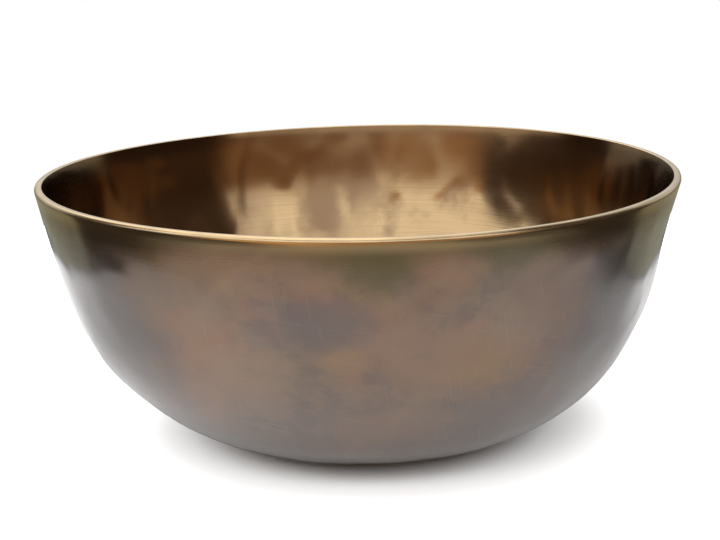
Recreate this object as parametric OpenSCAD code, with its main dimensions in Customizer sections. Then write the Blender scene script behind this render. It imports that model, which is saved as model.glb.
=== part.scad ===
// A hand-hammered singing bowl, raised from one disc of bell metal.
// The bowl is one piece of metal: a flat spot to stand on, a full belly,
// a wall that leans out a little, and a thicker rim that is ground flat on top.
// Millimetres, +Z up. The origin is the middle of the flat spot underneath.

/* [Bowl] */
// Widest diameter, across the outside of the rim
rim_d = 300; // [240:1:360]
// Height from the flat spot to the top of the rim
height = 123; // [98:1:150]
// Diameter of the flat spot that the bowl stands on
foot_d = 72; // [58:1:90]

/* [Wall] */
// Lean of the wall at the rim, in degrees outwards from upright
lean = 13.5; // [8:0.5:18]
// How straight the wall stands above the belly
wall_power = 4.1; // [3.3:0.1:5]
// How full and round the belly is
belly_power = 2.4; // [2:0.1:2.9]

/* [Metal] */
// Thickness of the bottom
base_t = 2.8; // [2:0.1:4]
// Thickness of the belly and wall
wall_t = 2.4; // [1.8:0.1:3.2]
// Thickness of the rim, measured square to the wall
rim_t = 3.6; // [2.8:0.1:5]
// Height of the band below the rim in which the wall thickens
rim_band = 34; // [20:1:45]
// Height of the band above the foot in which the bottom thins to the wall
base_band = 16; // [10:1:25]

/* [Rim edges] */
// Radius of the rounded outer edge of the rim
outer_edge_r = 1.6; // [0.6:0.1:2]
// Radius of the eased inner edge of the rim
inner_edge_r = 0.5; // [0.2:0.1:0.8]

/* [Hidden] */

curve_steps = 44;   // stretches in the outer curve, and as many in the inner
edge_steps = 6;     // stretches in each rounded edge
foot_crowding = 3;  // draws the stretches closer together towards the foot
old_bronze = [0.50, 0.41, 0.33];

// Unit vectors at the rim: up along the wall, and square to it, outwards.
up_wall = [sin(lean), cos(lean)];
off_wall = [cos(lean), -sin(lean)];

// The outer edge is an arc that meets the wall and the flat top square on.
outer_edge_c = [rim_d / 2 - outer_edge_r, height - outer_edge_r];
wall_end = outer_edge_c + outer_edge_r * off_wall;

// The share of the way up, and the radius there. The wall's own lean is
// added to a curve that leaves the foot level and ends upright.
leaned = wall_end[1] * tan(lean);
belly_reach = wall_end[0] - leaned - foot_d / 2;
function share(i) = pow(i / curve_steps, foot_crowding);
function fullness(s) = pow(1 - pow(1 - s, wall_power), 1 / belly_power);
function wall_point(s) = [
    foot_d / 2 + belly_reach * fullness(s) + leaned * s,
    wall_end[1] * s
];
outer_curve = [for (i = [0:curve_steps]) wall_point(share(i))];

// Thickness at a height: the bottom's, then the wall's, then the rim's.
function ease(t) = let (u = min(max(t, 0), 1)) u * u * (3 - 2 * u);
function thickness(z) =
    wall_t
    + (base_t - wall_t) * (1 - ease(z / base_band))
    + (rim_t - wall_t) * ease((z - wall_end[1] + rim_band) / rim_band);

// The inner curve is the outer one, moved in by the thickness.
function square_to(v) = [-v[1], v[0]] / norm(v);
function inward(i) =
    i == 0 ? [0, 1]
    : i == curve_steps ? -off_wall
    : square_to(outer_curve[i + 1] - outer_curve[i - 1]);
inner_curve = [
    for (i = [0:curve_steps])
        outer_curve[i] + thickness(outer_curve[i][1]) * inward(i)
];

// The inner edge is an arc that meets the inner wall and the flat top.
inner_end = inner_curve[curve_steps];
above_inner_end = height - inner_edge_r - inner_end[1];
along_inner_wall = (above_inner_end + inner_edge_r * sin(lean)) / cos(lean);
inner_edge_c =
    inner_end + along_inner_wall * up_wall + inner_edge_r * off_wall;

function arc(centre, radius, from, to) = [
    for (i = [0:edge_steps])
        let (a = from + (to - from) * i / edge_steps)
            centre + radius * [cos(a), sin(a)]
];

// From the middle of the foot, up the outside, over the rim, down the inside.
outline = concat(
    [[0, 0]],
    [for (i = [0:curve_steps - 1]) outer_curve[i]],
    arc(outer_edge_c, outer_edge_r, -lean, 90),
    arc(inner_edge_c, inner_edge_r, 90, 180 - lean),
    [for (i = [curve_steps - 1:-1:0]) inner_curve[i]],
    [[0, base_t]]
);

module hammered_bowl() {
    color(old_bronze)
        rotate_extrude($fn = 180)
            polygon(outline);
}

hammered_bowl();
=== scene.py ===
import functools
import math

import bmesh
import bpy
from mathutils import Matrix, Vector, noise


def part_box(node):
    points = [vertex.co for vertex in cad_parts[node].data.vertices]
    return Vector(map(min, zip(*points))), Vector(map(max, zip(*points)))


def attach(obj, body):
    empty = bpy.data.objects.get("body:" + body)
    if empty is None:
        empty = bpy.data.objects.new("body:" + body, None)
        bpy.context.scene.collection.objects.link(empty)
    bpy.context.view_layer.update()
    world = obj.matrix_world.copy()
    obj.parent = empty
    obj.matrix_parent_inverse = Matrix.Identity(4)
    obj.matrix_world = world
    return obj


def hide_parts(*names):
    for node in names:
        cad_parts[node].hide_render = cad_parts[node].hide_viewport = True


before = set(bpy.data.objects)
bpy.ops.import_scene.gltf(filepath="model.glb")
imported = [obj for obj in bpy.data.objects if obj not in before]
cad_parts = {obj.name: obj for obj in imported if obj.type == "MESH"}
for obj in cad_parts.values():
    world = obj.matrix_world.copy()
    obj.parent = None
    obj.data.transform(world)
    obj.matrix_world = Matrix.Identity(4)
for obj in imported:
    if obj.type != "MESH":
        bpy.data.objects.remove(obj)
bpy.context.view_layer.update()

# A hand-hammered singing bowl in brown bell metal, standing on a pale floor.
# The bowl is one closed skin, spun from its outline. The hammer's dents and
# the unevenness of hand work are then pressed into it.
# Everything is in metres, in the frame of the CAD model: +Z is up, and the
# origin is the middle of the flat spot underneath.

# ---------------------------------------------------------------- the design
# The bowl's own sizes, as the CAD model has them.

BOWL_LOW, BOWL_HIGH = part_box("hammered_bowl")
RIM_R = (BOWL_HIGH.x - BOWL_LOW.x) / 2
HEIGHT = BOWL_HIGH.z
FOOT_R = 0.036
LEAN = math.radians(13.5)
WALL_POWER = 4.1
BELLY_POWER = 2.4
BASE_T = 0.0028
WALL_T = 0.0024
RIM_T = 0.0036
RIM_BAND = 0.034
BASE_BAND = 0.016
OUTER_EDGE_R = 0.0016
INNER_EDGE_R = 0.0005

# How finely the skin is drawn: the faces round the bowl, the steps up its wall,
# how much closer those lie near the foot, and the steps in a rim edge and in a flat.
AROUND = 400
CURVE_STEPS = 104
FOOT_CROWDING = 2.2
EDGE_STEPS = 8
FLAT_STEPS = 8

MM = 0.001


def smooth(low, high, value):
    """0 below low, 1 above high, and an even S between them."""
    t = min(max((value - low) / (high - low), 0), 1)
    return t * t * (3 - 2 * t)


def bump(centre, reach, value):
    """1 at the centre, falling away to nothing at about twice the reach."""
    return math.exp(-(((value - centre) / reach) ** 2))


# ---------------------------------------------------------------- the outline

UP_WALL = Vector((math.sin(LEAN), math.cos(LEAN)))
OFF_WALL = Vector((math.cos(LEAN), -math.sin(LEAN)))
OUTER_EDGE_C = Vector((RIM_R - OUTER_EDGE_R, HEIGHT - OUTER_EDGE_R))
WALL_END = OUTER_EDGE_C + OUTER_EDGE_R * OFF_WALL


def wall_point(s):
    """A point of the outer skin, as (radius, height), at the share s of the way up."""
    leaned = WALL_END.y * math.tan(LEAN)
    reach = WALL_END.x - leaned - FOOT_R
    fullness = (1 - (1 - s) ** WALL_POWER) ** (1 / BELLY_POWER)
    return Vector((FOOT_R + reach * fullness + leaned * s, WALL_END.y * s))


def thickness(z):
    """The metal's thickness at a height of the outer skin."""
    base = (BASE_T - WALL_T) * (1 - smooth(0, BASE_BAND, z))
    rim = (RIM_T - WALL_T) * smooth(WALL_END.y - RIM_BAND, WALL_END.y, z)
    return WALL_T + base + rim


def arc(centre, radius, start, end):
    """The points of an arc between two angles, both ends included."""
    angles = [start + (end - start) * i / EDGE_STEPS for i in range(EDGE_STEPS + 1)]
    return [centre + radius * Vector((math.cos(a), math.sin(a))) for a in angles]


def bowl_outline():
    """From the middle of the foot, up the outside, over the rim, down the inside."""
    outer = [
        wall_point((i / CURVE_STEPS) ** FOOT_CROWDING) for i in range(CURVE_STEPS + 1)
    ]
    inner = []
    for i, point in enumerate(outer):
        if i == 0:
            inward = Vector((0, 1))
        elif i == CURVE_STEPS:
            inward = -OFF_WALL
        else:
            along = (outer[i + 1] - outer[i - 1]).normalized()
            inward = Vector((-along.y, along.x))
        inner.append(point + thickness(point.y) * inward)

    above = HEIGHT - INNER_EDGE_R - inner[-1].y
    along_wall = (above + INNER_EDGE_R * math.sin(LEAN)) / math.cos(LEAN)
    inner_edge_c = inner[-1] + along_wall * UP_WALL + INNER_EDGE_R * OFF_WALL

    flat = [FOOT_R * i / FLAT_STEPS for i in range(FLAT_STEPS)]
    under_foot = [Vector((radius, 0)) for radius in flat]
    inside_foot = [Vector((radius, BASE_T)) for radius in reversed(flat)]
    flat_top = [
        Vector((OUTER_EDGE_C.x + (inner_edge_c.x - OUTER_EDGE_C.x) * t, HEIGHT))
        for t in (1 / 3, 2 / 3)
    ]
    return (
        under_foot
        + outer[:-1]
        + arc(OUTER_EDGE_C, OUTER_EDGE_R, -LEAN, math.pi / 2)
        + flat_top
        + arc(inner_edge_c, INNER_EDGE_R, math.pi / 2, math.pi - LEAN)
        + inner[-2::-1]
        + inside_foot
    )


# ---------------------------------------------------------------- hand work

# The hand work fades out over this far below the rim, and on the outside between
# these two heights above the floor.
RIM_FADE = 18 * MM
FOOT_FADE = (0.5 * MM, 8 * MM)

# The metal's broad swells and long flats: how far they stand, in millimetres.
SWELL = 0.28
FLATS = 0.30

# The hammer's marks on each side: their width, their height, which part of the
# endless pattern they follow, and how far their facets tilt.
INSIDE_MARKS = (15 * MM, 34 * MM, 5, 0.046)
OUTSIDE_MARKS = (20 * MM, 26 * MM, 3, 0.032)

# How deep the marks sink, in millimetres.
INSIDE_SINK = 0.24
OUTSIDE_SINK = 0.10


def lopsided(co):
    """Where a point of the true round bowl lies on the uneven, hand-made one.

    The belly leans towards +X and is a little oval, the wall leans back above it,
    and the rim has three shallow corners and dips. The sums are in millimetres."""
    z = co.z
    angle = math.atan2(co.y, co.x)
    off_foot = smooth(0, 10 * MM, z)
    shift = 2.8 * bump(14 * MM, 18 * MM, z) - 1.0 * bump(98 * MM, 20 * MM, z)
    oval = -1.8 * bump(14 * MM, 16 * MM, z) + 1.0 * bump(62 * MM, 30 * MM, z)
    high = (z / HEIGHT) ** 2
    corners = -0.5 * math.sin(3 * angle) - 0.5 * math.cos(3 * angle)
    grow = off_foot * (shift * math.cos(angle) + oval * math.cos(2 * angle))
    grow += high * corners
    lift = high * (
        -0.1 * math.cos(angle)
        - 0.5 * math.sin(angle)
        + 0.4 * math.cos(2 * angle)
        + 0.5 * math.sin(2 * angle)
    )
    out = Vector((math.cos(angle), math.sin(angle), 0)) * grow
    return co + (out + Vector((0, 0, lift))) * MM


def wander(co):
    """Three smooth noises at a place, each from about -1 to 1."""
    shifts = (Vector((0, 0, 0)), Vector((31.7, 0, 0)), Vector((0, 47.3, 0)))
    return Vector([noise.noise(co + shift) for shift in shifts])


@functools.lru_cache(maxsize=None)
def blow(x, y, z):
    """One hammer blow: its tone, from 0 to 1, and the way that its facet leans."""
    centre = Vector((x, y, z))
    return 0.5 + 0.5 * noise.noise(centre * 3.7), wander(centre * 5.3)


def dents(co, width, tall, pattern, tilt):
    """The hammer's overlapping marks near a point of the skin: how deep the mark is,
    from 0 on a ridge to about 1, its tone from 0 to 1, and how far its own flat
    facet stands off the skin there, in metres."""
    sway = wander(co * 45) * 0.30
    spot = Vector((co.x / width, co.y / width, co.z / tall)) + sway + Vector((pattern, 0, 0))
    distances, centres = noise.voronoi(spot)
    total, tone, facet = 0, 0, 0
    for distance, centre in zip(distances, centres):
        share = math.exp(-7 * (distance * distance - distances[0] ** 2))
        its_tone, lean = blow(*centre)
        off = spot - centre
        total += share
        tone += share * its_tone
        facet += share * Vector((off.x * width, off.y * width, off.z * tall)).dot(lean)
    deep = 1 - min(distances[0] / 0.75, 1) ** 2
    tone /= total
    return (0.4 + 0.6 * tone) * deep, tone, tilt * facet / total


def faces_inwards(co, normal):
    """Whether the skin at a place is the bowl's inside."""
    radial = Vector((co.x, co.y, 0)).normalized()
    return normal.dot(radial) < normal.z


def hammered(co, normal):
    """How far a point of the skin moves along its normal, and its mark's depth and tone."""
    below_rim = smooth(0, RIM_FADE, HEIGHT - co.z)
    off_foot = smooth(*FOOT_FADE, co.z)
    swell = noise.noise(co * 22) * SWELL
    flats = noise.noise(Vector((co.x * 38, co.y * 38, co.z * 9))) * FLATS
    if faces_inwards(co, normal):
        deep, tone, facet = dents(co, *INSIDE_MARKS)
        move = MM * (1.1 * swell + flats - INSIDE_SINK * deep) + facet
    else:
        deep, tone, facet = dents(co, *OUTSIDE_MARKS)
        move = off_foot * (MM * (swell + flats - OUTSIDE_SINK * deep) + facet)
    return below_rim * move, deep * below_rim, tone


# The order of the bowl's materials.
OUTSIDE, INSIDE, RIM = range(3)


def make_bowl():
    """The bowl's closed skin: spun, closed at both poles, dented, then shaded smooth."""
    bm = bmesh.new()
    chain = [bm.verts.new((p.x, 0, p.y)) for p in bowl_outline()]
    lines = [bm.edges.new(pair) for pair in zip(chain, chain[1:])]
    bmesh.ops.spin(
        bm,
        geom=chain + lines,
        cent=(0, 0, 0),
        axis=(0, 0, 1),
        angle=2 * math.pi,
        steps=AROUND,
        use_merge=True,
        use_duplicate=False,
    )
    bmesh.ops.remove_doubles(bm, verts=bm.verts, dist=1e-6)
    bmesh.ops.recalc_face_normals(bm, faces=bm.faces)
    bm.normal_update()
    for face in bm.faces:
        face.smooth = True
        centre = face.calc_center_median()
        inside = faces_inwards(centre, face.normal)
        if centre.z > HEIGHT - (0.6 * INNER_EDGE_R if inside else OUTER_EDGE_R):
            face.material_index = RIM
        else:
            face.material_index = INSIDE if inside else OUTSIDE
    depth_layer = bm.verts.layers.float.new("dent_depth")
    tone_layer = bm.verts.layers.float.new("dent_tone")
    for vert in bm.verts:
        move, vert[depth_layer], vert[tone_layer] = hammered(vert.co, vert.normal)
        vert.co = lopsided(vert.co + vert.normal * move)
    mesh = bpy.data.meshes.new("hammered_shell")
    bm.to_mesh(mesh)
    bm.free()
    bowl = bpy.data.objects.new("hammered_shell", mesh)
    bpy.context.scene.collection.objects.link(bowl)
    return bowl


# ---------------------------------------------------------------- shader wires


class Wire:
    """A shader node's output. Sums written with wires add Math nodes."""

    def __init__(self, tree, socket=None):
        self.tree = tree
        self.socket = socket

    def add(self, kind, settings=None, inputs=None, output=0):
        """Adds any node: its settings first, then its sockets' values or links."""
        node = self.tree.nodes.new(kind)
        for name, value in (settings or {}).items():
            setattr(node, name, value)
        for name, value in (inputs or {}).items():
            if isinstance(value, Wire):
                self.tree.links.new(value.socket, node.inputs[name])
            else:
                node.inputs[name].default_value = value
        return Wire(self.tree, node.outputs[output]) if len(node.outputs) else node

    def math(self, operation, *values):
        return self.add("ShaderNodeMath", {"operation": operation}, dict(enumerate(values)))

    def __add__(self, other):
        return self.math("ADD", self, other)

    def __radd__(self, other):
        return self.math("ADD", other, self)

    def __sub__(self, other):
        return self.math("SUBTRACT", self, other)

    def __rsub__(self, other):
        return self.math("SUBTRACT", other, self)

    def __mul__(self, other):
        return self.math("MULTIPLY", self, other)

    def __rmul__(self, other):
        return self.math("MULTIPLY", other, self)

    def __pow__(self, other):
        return self.math("POWER", self, other)

    def step(self, low, high):
        """0 below low, 1 above high, and an even S between them."""
        return self.add(
            "ShaderNodeMapRange",
            {"interpolation_type": "SMOOTHSTEP"},
            {"Value": self, "From Min": low, "From Max": high},
        )

    def mix(self, dim, full):
        """The colour dim where this is 0, and full where it is 1. A Mix node's sockets
        6 and 7 are its two colours, and its output 2 is the mixed one."""
        return self.add("ShaderNodeMix", {"data_type": "RGBA"}, {0: self, 6: dim, 7: full}, 2)

    def grain(self, scale, detail=2.0, roughness=0.5):
        """Noise from 0 to 1 at the place this gives, scale features to the metre."""
        return self.add(
            "ShaderNodeTexNoise",
            inputs={"Vector": self, "Scale": scale, "Detail": detail, "Roughness": roughness},
        )

    def stretched(self, x, y, z):
        """The place this gives, times x, y and z."""
        return self.add("ShaderNodeVectorMath", {"operation": "MULTIPLY"}, {0: self, 1: (x, y, z)})


def rgb(red, green, blue):
    return (red, green, blue, 1.0)


def new_material(name):
    """A new material, and a wire that adds nodes to its empty tree."""
    material = bpy.data.materials.new(name)
    material.use_nodes = True
    material.node_tree.nodes.clear()
    return material, Wire(material.node_tree)


def object_place(net):
    """The place on the piece, its three coordinates, and its distance from the axis."""
    place = net.add("ShaderNodeTexCoord", output=3)
    x, y, z = (net.add("ShaderNodeSeparateXYZ", inputs={0: place}, output=i) for i in range(3))
    return place, x, y, z, (x * x + y * y) ** 0.5


def dent_mark(net, name):
    """What the hammer left here: "dent_depth", or the mark's own "dent_tone"."""
    return net.add("ShaderNodeAttribute", {"attribute_name": name}, output=2)


def brush_lines(net, x, y, along, fineness):
    """Fine lines round the bowl, as a brush leaves them while the bowl turns."""
    lines = net.add(
        "ShaderNodeCombineXYZ", inputs={0: x * 14.0, 1: y * 14.0, 2: along * fineness}
    )
    return lines.grain(1.0, detail=3.0, roughness=0.6)


def finish_metal(net, colour, roughness, relief, depth, extras):
    """Bare metal with a fine relief, so many metres deep, and what is laid over it."""
    bumps = net.add(
        "ShaderNodeBump", inputs={"Height": relief, "Distance": depth, "Strength": 1.0}
    )
    inputs = {"Base Color": colour, "Metallic": 1.0, "Roughness": roughness, "Normal": bumps}
    inputs.update(extras)
    shader = net.add("ShaderNodeBsdfPrincipled", inputs=inputs)
    net.add("ShaderNodeOutputMaterial", inputs={"Surface": shader})


# The metal's colours, in linear light. First those of the outside's patina:
UMBER = rgb(0.152, 0.110, 0.092)
WARM_BROWN = rgb(0.345, 0.206, 0.113)
RUSSET = rgb(0.372, 0.182, 0.118)
SMOKED_BROWN = rgb(0.160, 0.126, 0.110)
TAN = rgb(0.308, 0.200, 0.129)
STRUCK_TAN = rgb(0.314, 0.222, 0.152)
STREAK_TAN = rgb(0.330, 0.250, 0.190)
VIOLET = rgb(0.165, 0.134, 0.130)
PINK = rgb(0.350, 0.215, 0.150)
PALE_TAN = rgb(0.350, 0.245, 0.170)
SIDE_GREY = rgb(0.196, 0.178, 0.168)
# Painted light: the lower belly's colour, lighter and greyer, makes up for the shadowed floor that
# it mirrors.
LOW_BELLY_PAINTED_LIGHT = rgb(0.292, 0.240, 0.218)
SCRATCH_TAN = rgb(0.42, 0.33, 0.26)
# Those of the band under the rim:
BAND_BROWN = rgb(0.225, 0.142, 0.066)
COPPER = rgb(0.390, 0.230, 0.128)
OLIVE = rgb(0.150, 0.118, 0.052)
POLISHED_GOLD = rgb(0.44, 0.31, 0.15)
# Those of the inside, and of the rim's flat top:
DARK_BRONZE = rgb(0.180, 0.115, 0.070)
BRIGHT_BRONZE = rgb(0.38, 0.268, 0.148)
DEEP_BRONZE = rgb(0.23, 0.155, 0.090)
# Painted shade: the inside's upper wall and lip are coloured darker, for the dim room that they
# mirror.
UPPER_PAINTED_SHADE = rgb(0.175, 0.102, 0.050)
LIP_PAINTED_SHADE = rgb(0.105, 0.060, 0.030)
LINE_BRONZE = rgb(0.19, 0.115, 0.058)
RIM_BRONZE = rgb(0.37, 0.285, 0.175)
RIM_GOLD = rgb(0.46, 0.355, 0.220)

# Where the stains and the greyer side patches lie, and the inside's painted highlight and painted
# shade: each one's angle in degrees from the front, the height of its middle, its reach in metres,
# and how many times taller than wide it is.
VIOLET_STAINS = (
    (-7, 0.086, 0.036, 0.5),
    (47, 0.070, 0.056, 1.3),
    (-50, 0.080, 0.056, 1.3),
    (30, 0.030, 0.050, 0.8),
    (140, 0.080, 0.060, 0.8),
)
PINK_STAINS = (
    (-26, 0.062, 0.032, 1.0),
    (9, 0.074, 0.030, 0.9),
    (34, 0.090, 0.030, 1.4),
    (-160, 0.070, 0.040, 1.0),
)
PALE_STAINS = (
    (-33, 0.096, 0.028, 1.0),
    (27, 0.094, 0.026, 1.2),
    (-20, 0.066, 0.030, 0.8),
    (115, 0.070, 0.040, 0.9),
)
# Greyer, darker patches on the left and right of the outside, and one at the back.
SIDE_GREY_PATCHES = (
    (58, 0.068, 0.058, 1.5),
    (-59, 0.068, 0.056, 1.5),
    (165, 0.060, 0.050, 1.0),
)
COPPER_STAINS = ((-24, 0.112, 0.036, 0.5),)
OLIVE_STAINS = (
    (2, 0.112, 0.024, 0.8),
    (24, 0.116, 0.030, 0.5),
    (96, 0.112, 0.040, 0.7),
    (-118, 0.110, 0.040, 0.8),
    (170, 0.114, 0.035, 0.6),
)
# Painted highlight: a brighter gold patch low on the inside's back wall. Painted shade: a darker
# spot higher on it, left of the middle.
PAINTED_HIGHLIGHT_PATCH = (158, 0.052, 0.056, 1.0)
PAINTED_SHADE_PATCH = (190, 0.088, 0.024, 1.6)

# The two ways that the outside's scratches run, in radians.
SCRATCH_TURNS = (0.15, 1.45)


def stain_and_painted_light_patch(net, place, angle, level, reach, tall):
    """A soft ragged patch, 1 in its middle. The outside's stains use it, and so do the inside's
    painted highlight and painted shade.
    """
    turn = math.radians(angle)
    radius = 0.98 * RIM_R * min(1, 0.55 + 0.45 * (level / HEIGHT) ** 0.5)
    centre = (radius * math.sin(turn), -radius * math.cos(turn), level / tall)
    away = net.add(
        "ShaderNodeVectorMath",
        {"operation": "DISTANCE"},
        {0: place.stretched(1, 1, 1 / tall), 1: centre},
        output=1,
    )
    ragged = away * (1 / reach) + place.grain(70.0, 3.0, 0.6) * 0.9 - 0.45
    return 1 - ragged.step(0.25, 1.05)


def stained(net, place, colour, stains, strength, tint):
    """A colour with the tint laid over it at each of the stains."""
    for angle, level, reach, tall in stains:
        colour = (strength * stain_and_painted_light_patch(net, place, angle, level, reach, tall)).mix(colour, tint)
    return colour


def scratches(net, place, turn):
    """Long thin marks, turned by an angle about a line through the bowl's front."""
    turned = net.add(
        "ShaderNodeVectorRotate",
        {"rotation_type": "AXIS_ANGLE"},
        {"Vector": place, "Axis": (0.3, 1.0, 0.2), "Angle": turn},
    )
    return turned.stretched(900, 60, 34).grain(1.0, 1.0, 0.4)


def patina_body(net, place, height, cloud, smudge, streaks):
    """The patina's colour below the rim band: cloudy browns, stains, greyer side patches and
    scratches, and painted light on the lower belly.
    """
    blush = place.stretched(1, 1, 1.3).grain(30.0, 4.0, 0.6)
    mottle = place.stretched(1, 1, 1.5).grain(95.0, 4.0, 0.6)
    tone = dent_mark(net, "dent_tone")
    body = cloud.step(0.39, 0.58).mix(UMBER, WARM_BROWN)
    body = (0.7 * blush.step(0.48, 0.66)).mix(body, RUSSET)
    body = (0.75 * smudge.step(0.44, 0.70)).mix(body, SMOKED_BROWN)
    body = (0.5 * mottle.step(0.40, 0.62)).mix(body, TAN)
    body = (0.3 * tone.step(0.3, 0.8)).mix(body, STRUCK_TAN)
    body = (0.12 * streaks.step(0.45, 0.75)).mix(body, STREAK_TAN)
    body = stained(net, place, body, VIOLET_STAINS, 0.75, VIOLET)
    body = stained(net, place, body, PINK_STAINS, 0.5, PINK)
    body = stained(net, place, body, PALE_STAINS, 0.5, PALE_TAN)
    body = stained(net, place, body, SIDE_GREY_PATCHES, 0.8, SIDE_GREY)
    # Painted light: the lower belly is made lighter and greyer, to make up for the shadowed floor
    # that it mirrors.
    low = 1 - (height + cloud * 0.030).step(0.045, 0.085)
    body = (0.6 * low).mix(body, LOW_BELLY_PAINTED_LIGHT)
    for turn in SCRATCH_TURNS:
        mark = scratches(net, place, turn).step(0.70, 0.73)
        body = (0.12 * mark).mix(body, SCRATCH_TAN)
    return body


def outside_patina():
    """Browned bell metal under a thin wax, rubbed thinner and more golden at the rim."""
    material, net = new_material("outside_patina")
    place, x, y, height, radius = object_place(net)
    cloud = place.grain(15.0, 3.0, 0.5)
    smudge = place.stretched(1, 1, 1.2).grain(34.0, 3.0, 0.5)
    streaks = place.stretched(220, 220, 16).grain(1.0, 3.0, 0.6)
    lines = brush_lines(net, x, y, height + radius, 700.0)
    body = patina_body(net, place, height, cloud, smudge, streaks)

    rim_band = (height + cloud * 0.022 + smudge * 0.012).step(0.122, 0.138)
    polished = height.step(0.1150, 0.1215)
    colour = rim_band.mix(body, BAND_BROWN)
    colour = stained(net, place, colour, COPPER_STAINS, 0.8, COPPER)
    colour = stained(net, place, colour, OLIVE_STAINS, 0.85, OLIVE)
    colour = polished.mix(colour, POLISHED_GOLD)
    roughness = 0.24 + smudge * 0.08 + lines * 0.06 - rim_band * 0.10 - polished * 0.05
    wax = {"Coat Weight": 1 - 0.75 * rim_band, "Coat Roughness": 0.09, "Coat IOR": 1.6}
    finish_metal(net, colour, roughness, lines + streaks, 0.015 * MM, wax)
    return material


def inside_burnish():
    """Bright bell metal, each hammer mark in its own tone, with painted shade darker towards the
    lip and higher on the back wall, and a painted highlight low on the back wall.
    """
    material, net = new_material("inside_burnish")
    place, x, y, height, radius = object_place(net)
    depth = dent_mark(net, "dent_depth")
    tone = dent_mark(net, "dent_tone")
    cloud = place.grain(24.0, 3.0, 0.55)
    lines = brush_lines(net, x, y, height + radius, 1600.0)
    painted_highlight = stain_and_painted_light_patch(net, place, *PAINTED_HIGHLIGHT_PATCH)
    painted_shade = stain_and_painted_light_patch(net, place, *PAINTED_SHADE_PATCH)
    # The painted highlight raises the gold here, and the painted shade lowers it.
    gold = (tone + 0.4 * (cloud - 0.5) + 0.30 * painted_highlight - 0.22 * painted_shade).step(0.30, 0.66)
    bottom = 1 - height.step(0.008, 0.034)
    gold = gold + (0.60 - gold) * 0.6 * bottom
    # Painted shade: the inside is made darker towards the lip, for the dim room that the upper
    # wall mirrors.
    upper_shade = (height + cloud * 0.020 + tone * 0.012).step(0.096, 0.116)
    lip_shade = (height + cloud * 0.006).step(0.115, 0.122)

    colour = gold.mix(DARK_BRONZE, BRIGHT_BRONZE)
    colour = (0.35 * depth.step(0.5, 0.9)).mix(colour, DEEP_BRONZE)
    colour = (0.85 * upper_shade).mix(colour, UPPER_PAINTED_SHADE)
    colour = (0.55 * lip_shade).mix(colour, LIP_PAINTED_SHADE)
    colour = (0.36 * lines.step(0.45, 0.75)).mix(colour, LINE_BRONZE)
    roughness = 0.12 + lines * 0.05 + (1 - gold) * 0.03
    brushed = {"Anisotropic": 0.3, "Anisotropic Rotation": 0.25}
    finish_metal(net, colour, roughness, lines, 0.012 * MM, brushed)
    return material


def ground_rim():
    """The rim's top, ground flat and rubbed bright."""
    material, net = new_material("ground_rim")
    place, x, y, height, radius = object_place(net)
    lines = brush_lines(net, x, y, height + radius, 2500.0)
    worn = place.grain(45.0, 2.0, 0.5)
    colour = worn.step(0.35, 0.65).mix(RIM_BRONZE, RIM_GOLD)
    roughness = 0.20 + lines * 0.12
    finish_metal(net, colour, roughness, lines, 0.020 * MM, {})
    return material


# ---------------------------------------------------------------- the stage

# The middle of the sheet on the floor, and half of each of its sides.
SHEET_MIDDLE = (-0.012, 0.075)
SHEET_HALF = (0.288, 0.395)
# How far right of the bowl's axis the middle of the soft shadow painted on the sheet lies.
PAINTED_SHADOW_SHIFT = 0.026


def mirrored_sheet(x, y, radius):
    """How light the metal mirrors the sheet, as painted light and shade that only mirrored rays
    see: dark towards its edges, in front and beside the bowl, and lighter behind it and close to
    its foot, where painted light makes up for the bowl's shadow."""
    off_side = ((x - SHEET_MIDDLE[0]) * (1 / SHEET_HALF[0])) ** 2
    off_end = ((y - SHEET_MIDDLE[1]) * (1 / SHEET_HALF[1])) ** 2
    off_edges = (1 - (off_side ** 4).step(0.4, 1.1)) * (1 - (off_side + off_end).step(0.92, 1.20))
    beside = (x * x).step(0.012, 0.040) * (1 - y.step(0.0, 0.10))
    in_front = (0 - y).step(0.18, 0.30)
    behind = y.step(-0.02, 0.12)
    # Painted light: close to the foot the mirrored sheet is made lighter, to make up for the
    # bowl's shadow on it.
    off_foot = radius.step(0.11, 0.20)
    grey = (0.300 - 0.060 * beside + 0.09 * behind) * (0.2 + 0.8 * off_edges)
    return grey * (1 - 0.32 * in_front) * (1.34 - 0.40 * off_foot)


def white_sheet():
    """The sheet under the bowl, with a soft shadow painted on it, a little darker round the bowl's
    foot.
    The metal mirrors it greyer than the eye sees it, in painted light and shade of its own."""
    material, net = new_material("white_sheet")
    _, x, y, _, radius = object_place(net)
    # Painted shadow: the sheet is painted darker in a soft disc round the bowl's foot, set a
    # little to the right.
    off_painted_shadow = (((x - PAINTED_SHADOW_SHIFT) ** 2 + y * y) ** 0.5).step(0.070, 0.096)
    pale = 0.72 + 0.18 * off_painted_shadow
    mirrored = net.add("ShaderNodeLightPath", output="Is Glossy Ray")
    colour = mirrored.mix(pale, mirrored_sheet(x, y, radius))
    shader = net.add("ShaderNodeBsdfDiffuse", inputs={"Color": colour})
    net.add("ShaderNodeOutputMaterial", inputs={"Surface": shader})
    return material


def make_floor():
    """A pale sheet that reaches further behind the bowl than in front of it."""
    bm = bmesh.new()
    bmesh.ops.create_grid(bm, x_segments=1, y_segments=1, size=1)
    bmesh.ops.scale(bm, vec=(SHEET_HALF[0], SHEET_HALF[1], 1), verts=bm.verts)
    bmesh.ops.translate(bm, vec=(SHEET_MIDDLE[0], SHEET_MIDDLE[1], 0), verts=bm.verts)
    mesh = bpy.data.meshes.new("floor")
    bm.to_mesh(mesh)
    bm.free()
    floor = bpy.data.objects.new("floor", mesh)
    bpy.context.scene.collection.objects.link(floor)
    floor.data.materials.append(white_sheet())


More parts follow.
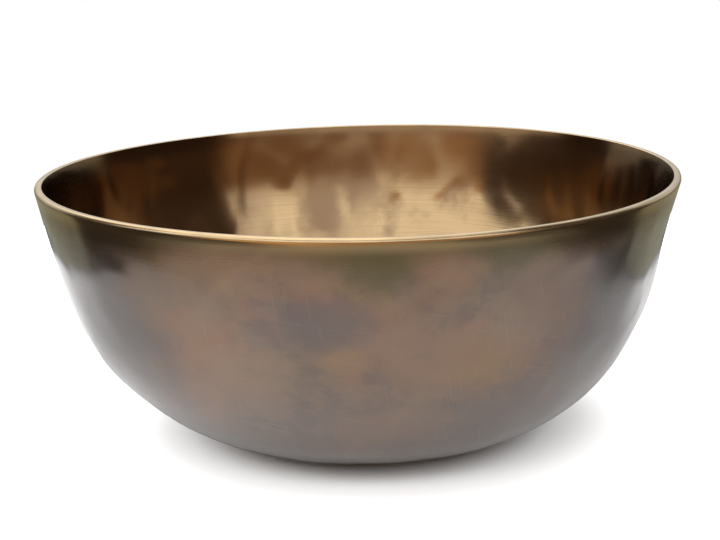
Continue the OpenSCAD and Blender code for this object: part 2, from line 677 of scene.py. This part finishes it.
def make_camera():
    """A long lens, a little above the rim, that looks down into the bowl's mouth."""
    distance, lift, turn = 0.750, math.radians(13.81), math.radians(-1.28)
    target = Vector((-0.0005, 0, 0.0743))
    lens = bpy.data.cameras.new("portrait")
    lens.sensor_width = 36
    lens.lens = 78.0
    lens.clip_start = 0.01
    camera = bpy.data.objects.new("portrait", lens)
    back = Vector((0, -math.cos(lift), math.sin(lift)))
    aim = (-back).to_track_quat("-Z", "Y").to_matrix().to_4x4()
    camera.matrix_world = (
        Matrix.Translation(target + back * distance) @ aim @ Matrix.Rotation(turn, 4, "Z")
    )
    bpy.context.scene.collection.objects.link(camera)
    bpy.context.scene.camera = camera


# The panels' light is a little cool.
PANEL_TINT = (0.955, 0.975, 1.0)


def soft_box(name, place, width, height, radiance):
    """A flat, even panel of light that faces the bowl. It lights the sheet, and
    the bowl's metal doesn't mirror it."""
    light = bpy.data.lights.new(name, "AREA")
    light.shape = "RECTANGLE"
    light.size = width
    light.size_y = height
    light.energy = radiance * math.pi * width * height
    light.color = PANEL_TINT
    panel = bpy.data.objects.new(name, light)
    turn = (-Vector(place)).to_track_quat("-Z", "Y").to_matrix().to_4x4()
    panel.matrix_world = Matrix.Translation(place) @ turn
    panel.visible_camera = False
    panel.visible_glossy = False
    bpy.context.scene.collection.objects.link(panel)


def light_the_sheet():
    """A ring of low panels, so that the bowl's shadow stays close to its foot, and
    one panel above."""
    count, reach, height = 6, 1.2, 0.80
    for i in range(count):
        turn = math.radians(360 * (i + 0.5) / count)
        place = (reach * math.cos(turn), reach * math.sin(turn), height)
        soft_box("low_panel_%d" % (i + 1), place, width=1.1, height=0.6, radiance=4.2)
    soft_box("top_panel", (-0.35, 0.1, 1.5), width=1.5, height=1.5, radiance=4.9)


# The light that the metal mirrors, in linear light.
FLOOR_GLOOM = rgb(0.055, 0.046, 0.040)
ROOM_GLOOM = rgb(0.105, 0.070, 0.053)
AMBER_WALL = rgb(0.64, 0.395, 0.23)
LAMPLIT_WALL = rgb(1.00, 0.64, 0.36)
BACKDROP_FOOT = rgb(0.34, 0.33, 0.24)
BACKDROP = rgb(0.92, 0.92, 0.90)
WINDOW_LIGHT = rgb(1.9, 1.9, 1.85)
CEILING_LIGHT = rgb(1.4, 1.37, 1.3)
OVERHEAD_LIGHT = rgb(2.4, 2.2, 1.9)


def mirrored_room(net):
    """The light from each way, as the metal mirrors it. Ways are unit vectors, and
    the azimuth is 0 in front of the bowl and grows towards +X. The same room lights
    the sheet, but for the light overhead, which is there for mirrored rays only."""
    way = net.add("ShaderNodeTexCoord", output=0)
    x, y, z = (net.add("ShaderNodeSeparateXYZ", inputs={0: way}, output=i) for i in range(3))
    azimuth = net.math("ARCTAN2", x, 0 - y)
    in_front = (0 - y).step(0.42, 0.66)
    lamplit = 1 - ((azimuth + 0.55) ** 2).step(0.02, 0.20)
    behind = y.step(0.42, 0.52)
    across = azimuth.step(-1.66, -1.54) * (1 - azimuth.step(0.93, 1.01))
    up = z.step(0.270, 0.300) * (1 - z.step(0.70, 0.80))
    overhead = x.step(-0.66, -0.54) * (1 - x.step(0.05, 0.30)) * z.step(0.32, 0.40)
    off_front = (y + 0.4).step(0.0, 0.10)
    mirrored = net.add("ShaderNodeLightPath", output="Is Glossy Ray")

    room = z.step(-0.05, 0.05).mix(FLOOR_GLOOM, ROOM_GLOOM)
    room = in_front.mix(room, AMBER_WALL)
    room = (in_front * lamplit).mix(room, LAMPLIT_WALL)
    room = behind.mix(room, BACKDROP_FOOT)
    room = (z.step(0.02, 0.15) * behind).mix(room, BACKDROP)
    room = (across * up).mix(room, WINDOW_LIGHT)
    room = z.step(0.86, 0.92).mix(room, CEILING_LIGHT)
    return (mirrored * overhead * off_front).mix(room, OVERHEAD_LIGHT)


def make_world():
    """White to the eye. To the metal it is a dim warm room, with a pale backdrop
    behind the bowl, a wide bright window high in front of it and a light overhead."""
    world = bpy.data.worlds.new("studio")
    world.use_nodes = True
    world.node_tree.nodes.clear()
    net = Wire(world.node_tree)
    seen = net.add("ShaderNodeBackground", inputs={"Color": rgb(1, 1, 1)})
    felt = net.add("ShaderNodeBackground", inputs={"Color": mirrored_room(net)})
    direct = net.add("ShaderNodeLightPath", output="Is Camera Ray")
    both = net.add("ShaderNodeMixShader", inputs={0: direct, 1: felt, 2: seen})
    net.add("ShaderNodeOutputWorld", inputs={"Surface": both})
    bpy.context.scene.world = world


# ---------------------------------------------------------------- the picture

make_camera()
make_floor()
make_world()
light_the_sheet()

bowl = make_bowl()
for skin in (outside_patina(), inside_burnish(), ground_rim()):
    bowl.data.materials.append(skin)
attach(bowl, "root")
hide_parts("hammered_bowl")

bpy.context.scene.view_settings.view_transform = "Standard"
